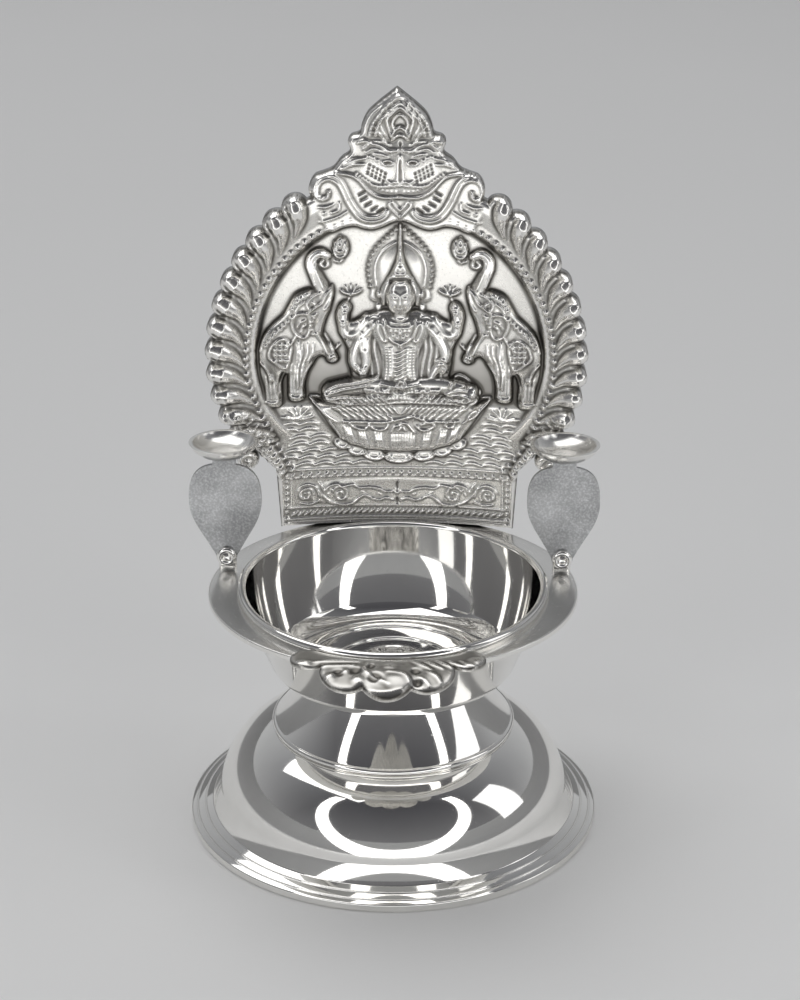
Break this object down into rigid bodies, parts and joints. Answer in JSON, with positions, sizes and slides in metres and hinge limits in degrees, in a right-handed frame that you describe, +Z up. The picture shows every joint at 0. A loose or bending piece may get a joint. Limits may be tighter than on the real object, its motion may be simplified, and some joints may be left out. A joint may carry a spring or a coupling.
{
  "type": "aarti lamp",
  "caption": "Small standing silver oil lamp for worship: oil bowl on a domed foot, relief back plate with a seated goddess, and leaf arms carrying small dishes that turn on rivets.",
  "frame": {"origin": "centre of the foot on the table", "axes": "+Z up along the axis of the bowl, the front of the lamp faces -Y, +X to the viewer's right"},
  "size_m": [0.037, 0.0388, 0.0635],
  "materials": {
    "polished_silver": "mirror polished silver",
    "relief_silver": "stamped silver, bright on the raised parts and darker in the recesses",
    "satin_silver": "satin rolled silver sheet",
    "plain_metal": "plain steel fasteners"
  },
  "bodies": {
    "lamp": {"foot": "polished_silver", "foot_washer": "plain_metal", "foot_nut": "plain_metal", "neck_collar": "polished_silver", "stem_stud": "plain_metal", "oil_bowl": "polished_silver", "rim_plate": "polished_silver", "wick_rest": "relief_silver", "back_plate": "relief_silver", "back_cover": "satin_silver", "left_rivet": "polished_silver", "right_rivet": "polished_silver"},
    "left_arm": {"left_leaf": "satin_silver", "left_dish": "polished_silver"},
    "right_arm": {"right_leaf": "satin_silver", "right_dish": "polished_silver"}
  },
  "joints": [
    {"name": "left_arm_turn", "type": "hinge", "parent": "lamp", "child": "left_arm", "pos_m": [-0.0151, 0.004, 0.02325], "axis": [0, -1, 0], "range_deg": [-45, 60]},
    {"name": "right_arm_turn", "type": "hinge", "parent": "lamp", "child": "right_arm", "pos_m": [0.0151, 0.004, 0.02325], "axis": [0, 1, 0], "range_deg": [-45, 60]}
  ]
}
